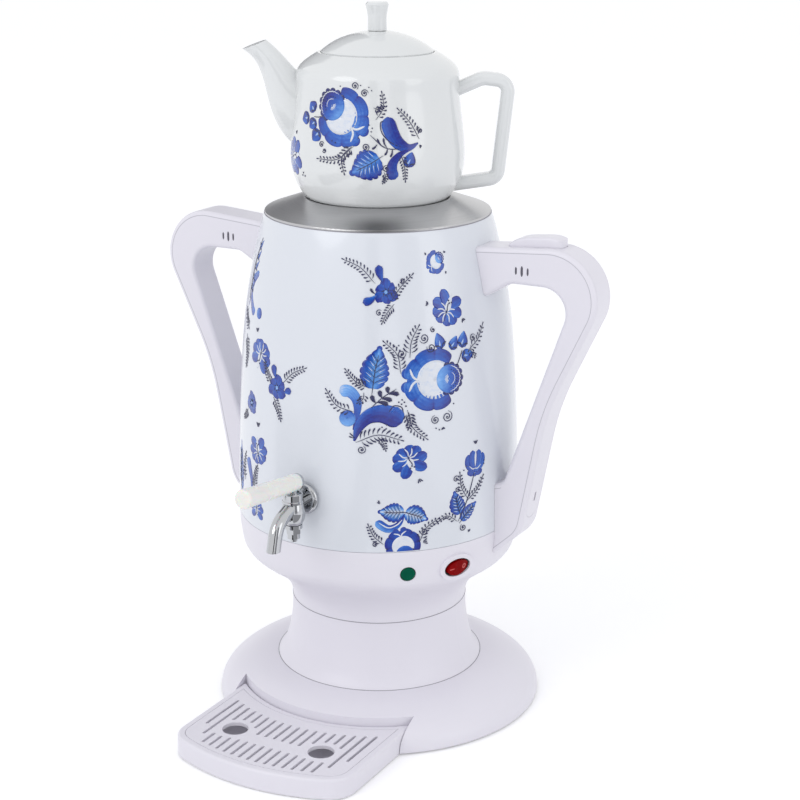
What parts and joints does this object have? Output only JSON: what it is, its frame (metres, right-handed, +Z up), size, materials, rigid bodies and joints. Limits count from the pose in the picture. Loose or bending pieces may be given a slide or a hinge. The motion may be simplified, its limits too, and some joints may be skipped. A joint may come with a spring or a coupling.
{
  "type": "electric tea maker",
  "caption": "Tall electric boiler on a round pedestal with a teapot kept warm on top, a front tap over a slotted drip tray and a loop handle on each side.",
  "frame": {"origin": "on the boiler's upright axis, on the surface it stands on", "axes": "+Z up along the boiler's axis, -Y towards the front where the tap and the drip tray are, +X towards the handle with the thumb button"},
  "size_m": [0.334, 0.2953, 0.4896],
  "materials": {
    "housing_white": "satin moulded plastic, cool white",
    "handle_white": "satin moulded plastic, cool white",
    "tray_white": "satin moulded plastic, cool white",
    "shell_paint": "white gloss paint with a blue flower ornament",
    "brushed_top": "satin brushed",
    "tank_steel": "plain rolled",
    "zinc_steel": "zinc plated",
    "heater_alloy": "cast, as made",
    "chrome": "polished",
    "lever_white": "milky, slightly warm white",
    "lens_green": "clear green, polished",
    "rocker_red": "polished",
    "black_plastic": "matt moulded",
    "seal_rubber": "translucent silicone",
    "foot_rubber": "matt",
    "contact_brass": "nickel plated",
    "pot_glaze": "white glaze with a blue flower ornament",
    "spring_steel": "drawn wire"
  },
  "bodies": {
    "boiler": {"foot_base": "housing_white", "base_plate": "housing_white", "rubber_feet": "foot_rubber", "base_screws": "zinc_steel", "pedestal_neck": "housing_white", "neck_screws": "zinc_steel", "housing_screws": "zinc_steel", "power_inlet": "black_plastic", "inlet_pins": "contact_brass", "lower_housing": "housing_white", "lamp_lens": "lens_green", "lamp_holder": "black_plastic", "switch_body": "black_plastic", "switch_tabs": "contact_brass", "outer_shell": "shell_paint", "water_tank": "tank_steel", "rim_ring": "housing_white", "tank_support": "zinc_steel", "heating_plate": "heater_alloy", "heating_element": "tank_steel", "thermostat": "heater_alloy", "dry_boil_cutout": "black_plastic", "handle_right": "handle_white", "handle_left": "handle_white", "handle_cover_right": "handle_white", "handle_cover_left": "handle_white", "handle_plates": "zinc_steel", "handle_screws": "zinc_steel", "button_spring": "spring_steel", "tap_flange": "chrome", "tap_seals": "seal_rubber", "tap_locknut": "zinc_steel", "tap_body": "chrome"},
    "boiler_lid": {"boiler_lid": "brushed_top", "lid_ring": "tank_steel"},
    "teapot": {"teapot": "pot_glaze"},
    "teapot_lid": {"teapot_lid": "pot_glaze", "lid_knob": "pot_glaze", "knob_screw": "zinc_steel"},
    "tap_plug": {"tap_plug": "chrome", "tap_lever": "lever_white", "tap_washer": "chrome", "tap_nut": "chrome"},
    "rocker": {"rocker": "rocker_red"},
    "drip_tray": {"drip_tray": "tray_white"},
    "drip_grille": {"drip_grille": "tray_white"},
    "thumb_button": {"thumb_button": "handle_white"}
  },
  "joints": [
    {"name": "boiler_lid_lift", "type": "slide", "parent": "boiler", "child": "boiler_lid", "axis": [0, 0, 1], "range_m": [0, 0.06]},
    {"name": "teapot_lift", "type": "slide", "parent": "boiler_lid", "child": "teapot", "axis": [0, 0, 1], "range_m": [0, 0.08]},
    {"name": "teapot_lid_lift", "type": "slide", "parent": "teapot", "child": "teapot_lid", "axis": [0, 0, 1], "range_m": [0, 0.06]},
    {"name": "tap_turn", "type": "hinge", "parent": "boiler", "child": "tap_plug", "pos_m": [0, -0.1134, 0.19], "axis": [0, 0, 1], "range_deg": [-90, 0]},
    {"name": "rocker_tip", "type": "hinge", "parent": "boiler", "child": "rocker", "pos_m": [0.08452, -0.04494, 0.12435], "axis": [0.1533, -0.0815, 0.9848], "range_deg": [-16, 0]},
    {"name": "tray_pull", "type": "slide", "parent": "boiler", "child": "drip_tray", "axis": [0, -1, 0], "range_m": [0, 0.08]},
    {"name": "grille_lift", "type": "slide", "parent": "drip_tray", "child": "drip_grille", "axis": [0, 0, 1], "range_m": [0, 0.03]},
    {"name": "button_press", "type": "slide", "parent": "boiler", "child": "thumb_button", "axis": [0, 0, -1], "range_m": [0, 0.003], "stiffness_N_per_m": 400, "springref_m": -0.002, "deforming": ["button_spring"]}
  ]
}
